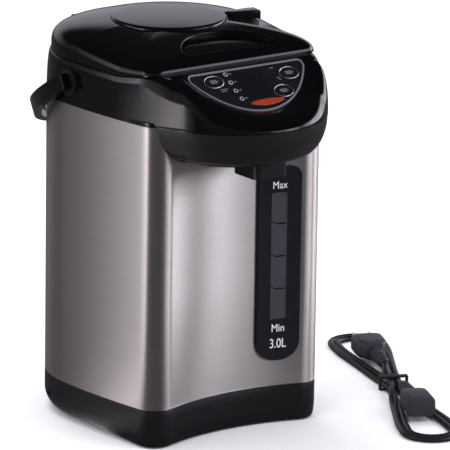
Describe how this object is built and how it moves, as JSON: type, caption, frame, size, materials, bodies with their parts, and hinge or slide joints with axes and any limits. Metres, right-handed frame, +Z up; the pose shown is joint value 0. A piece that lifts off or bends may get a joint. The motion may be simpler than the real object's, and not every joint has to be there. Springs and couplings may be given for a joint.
{
  "type": "electric thermo pot",
  "caption": "Free-standing electric water heater and dispenser: steel casing, overhanging spout head with sloped keys, hinged lid with manual pump button, bail handle, water gauge, tied cord",
  "frame": {"origin": "under the middle of the pot's own box (its cord left out), on the surface that it stands on; the pot's vertical axis stands at X 0, Y 23.4 mm", "axes": "+Z up, the front with the spout faces -Y, +X to the right of someone who faces the spout"},
  "size_m": [0.3449, 0.3084, 0.3135],
  "materials": {
    "steel_casing": "brushed vertically, warm grey",
    "gloss_black": "polished black moulding",
    "matte_black": "fine matt black moulding",
    "base_black": "satin black moulding",
    "rubber": "matt rubber",
    "seal": "grey silicone",
    "clear": "clear window",
    "bright_trim": "bright edge line",
    "panel_black": "satin film over the panel",
    "red_lens": "translucent red lens",
    "lamp_white": "small clear lamps",
    "inner_steel": "satin stainless steel",
    "screw_steel": "plain steel",
    "mica": "mica band with its foil",
    "white_plastic": "plain white moulding",
    "circuit": "green laminate",
    "inlet_black": "plain black moulding",
    "cord_black": "smooth black sheath",
    "plug_black": "moulded black plug"
  },
  "bodies": {
    "root": {"base_shell": "base_black", "base_plate": "base_black", "rubber_feet": "rubber", "base_screws": "screw_steel", "outer_casing": "steel_casing", "gauge_panel": "panel_black", "gauge_window": "clear", "sight_tube": "clear", "head_housing": "gloss_black", "spout_housing": "matte_black", "spout_plate": "base_black", "spout_collar": "matte_black", "spout_nozzle": "white_plastic", "control_panel": "panel_black", "panel_trim": "bright_trim", "display_window": "panel_black", "indicator_lens": "red_lens", "indicator_lamps": "lamp_white", "panel_board": "circuit", "inner_pot": "inner_steel", "pot_gasket": "seal", "band_heater": "mica", "thermostat": "white_plastic", "water_pump": "white_plastic", "outlet_hose": "seal", "power_board": "circuit", "power_inlet": "inlet_black", "hinge_bracket": "matte_black", "hinge_pin": "screw_steel", "latch_keeper": "matte_black", "handle_pivots": "gloss_black", "cord_hank": "cord_black", "mains_plug": "plug_black", "pot_connector": "plug_black", "cord_tie": "rubber"},
    "impeller": {"pump_impeller": "white_plastic"},
    "lid": {"lid_cover": "gloss_black", "inner_lid": "inner_steel", "lid_gasket": "seal", "lid_hinge": "matte_black", "hinge_cover": "gloss_black", "lever_pin": "screw_steel", "lock_pin": "screw_steel", "pump_bellows": "rubber", "pump_spring": "screw_steel"},
    "lever": {"lid_lever": "gloss_black"},
    "plunger": {"pump_button": "gloss_black"},
    "lock": {"pump_lock": "gloss_black"},
    "handle": {"carry_handle": "matte_black"},
    "key_left": {"button_left": "bright_trim"},
    "key_right": {"button_right": "bright_trim"},
    "key_lower": {"button_lower": "bright_trim"}
  },
  "joints": [
    {"name": "lid_swing", "type": "hinge", "parent": "root", "child": "lid", "pos_m": [0, 0.10786, 0.29], "axis": [-1, 0, 0], "range_deg": [0, 85]},
    {"name": "handle_swing", "type": "hinge", "parent": "root", "child": "handle", "pos_m": [0, 0.02936, 0.27], "axis": [1, 0, 0], "range_deg": [0, 118.5]},
    {"name": "pump_press", "type": "slide", "parent": "lid", "child": "plunger", "axis": [0, 0, -1], "range_m": [0, 0.013], "stiffness_N_per_m": 300, "springref_m": -0.01, "deforming": ["pump_spring", "pump_bellows"]},
    {"name": "lock_turn", "type": "hinge", "parent": "lid", "child": "lock", "pos_m": [0.06443, 0.00548, 0.307], "axis": [0, 0, -1], "range_deg": [0, 25]},
    {"name": "lever_lift", "type": "hinge", "parent": "lid", "child": "lever", "pos_m": [0, -0.05324, 0.2966], "axis": [1, 0, 0], "range_deg": [0, 20], "stiffness_Nm_per_rad": 0.1, "springref_deg": -20.05},
    {"name": "impeller_spin", "type": "hinge", "parent": "root", "child": "impeller", "pos_m": [0.03, 0.01536, 0.05], "axis": [0, 0, 1], "continuous": true},
    {"name": "key_left_press", "type": "slide", "parent": "root", "child": "key_left", "axis": [0, 0.6293, -0.7771], "range_m": [0, 0.001], "stiffness_N_per_m": 400, "springref_m": -0.001},
    {"name": "key_right_press", "type": "slide", "parent": "root", "child": "key_right", "axis": [0, 0.6293, -0.7771], "range_m": [0, 0.001], "stiffness_N_per_m": 400, "springref_m": -0.001},
    {"name": "key_lower_press", "type": "slide", "parent": "root", "child": "key_lower", "axis": [0, 0.6293, -0.7771], "range_m": [0, 0.001], "stiffness_N_per_m": 400, "springref_m": -0.001}
  ]
}
